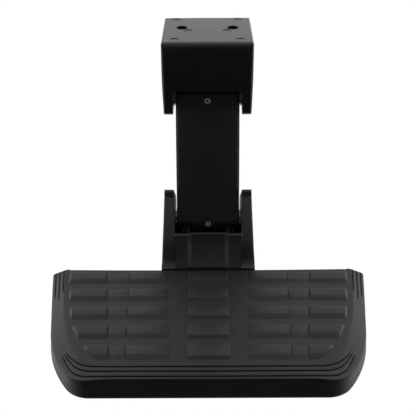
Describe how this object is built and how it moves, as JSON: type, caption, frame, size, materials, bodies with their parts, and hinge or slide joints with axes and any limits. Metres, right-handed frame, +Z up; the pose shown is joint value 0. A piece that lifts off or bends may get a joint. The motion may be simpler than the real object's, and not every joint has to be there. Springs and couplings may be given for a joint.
{
  "type": "retractable bed step",
  "caption": "Retractable step for a pickup bed: a bolted-on housing carries a parallelogram of two arms, and a bracket at their lower end holds a treaded step pad level.",
  "frame": {"origin": "midpoint between the two bolt holes, on the flat top face of the housing", "axes": "+X across the vehicle, along the width of the pad; +Y forward under the vehicle, away from the pad; +Z up, out of the mounting face"},
  "size_m": [0.3906, 0.3409, 0.292],
  "materials": {
    "cast": "satin black powder coat on a cast and machined body",
    "pad": "moulded glass-filled nylon, fine matt grain",
    "steel": "zinc plated steel",
    "bush": "plain bearing bronze",
    "rubber": "matt moulded rubber",
    "spring": "oiled spring steel",
    "insert": "turned brass"
  },
  "bodies": {
    "mount": {"mount_housing": "cast", "upper_front_bushes": "bush", "upper_rear_pin": "steel", "upper_rear_spacers": "steel", "upper_rear_rings": "spring", "torsion_spring": "spring"},
    "main_arm": {"main_arm": "cast", "upper_front_pin": "steel", "lower_front_pin": "steel", "upper_set_screw": "steel", "lower_set_screw": "steel", "upper_front_washers": "steel", "lower_front_washers": "steel", "stop_bumper": "rubber", "stop_screw": "steel"},
    "idler_arm": {"idler_arm": "cast", "idler_upper_bushes": "bush", "idler_lower_bushes": "bush"},
    "step": {"step_bracket": "cast", "lower_front_bushes": "bush", "lower_rear_pin": "steel", "lower_rear_rings": "spring", "step_pad": "pad", "pad_inserts": "insert", "pad_bolts": "steel", "pad_washers": "steel"}
  },
  "joints": [
    {"name": "main_swing", "type": "hinge", "parent": "mount", "child": "main_arm", "pos_m": [0, -0.031, -0.073], "axis": [1, 0, 0], "range_deg": [0, 90]},
    {"name": "idler_swing", "type": "hinge", "parent": "mount", "child": "idler_arm", "pos_m": [0, 0.00048, -0.06015], "axis": [1, 0, 0], "range_deg": [0, 90], "deforming": ["torsion_spring"]},
    {"name": "step_level", "type": "hinge", "parent": "main_arm", "child": "step", "pos_m": [0, -0.08901, -0.211], "axis": [1, 0, 0], "range_deg": [-90, 0]}
  ],
  "couplings": [
    {"joint": "idler_swing", "follows": "main_swing", "ratio": 1},
    {"joint": "step_level", "follows": "main_swing", "ratio": -1}
  ]
}
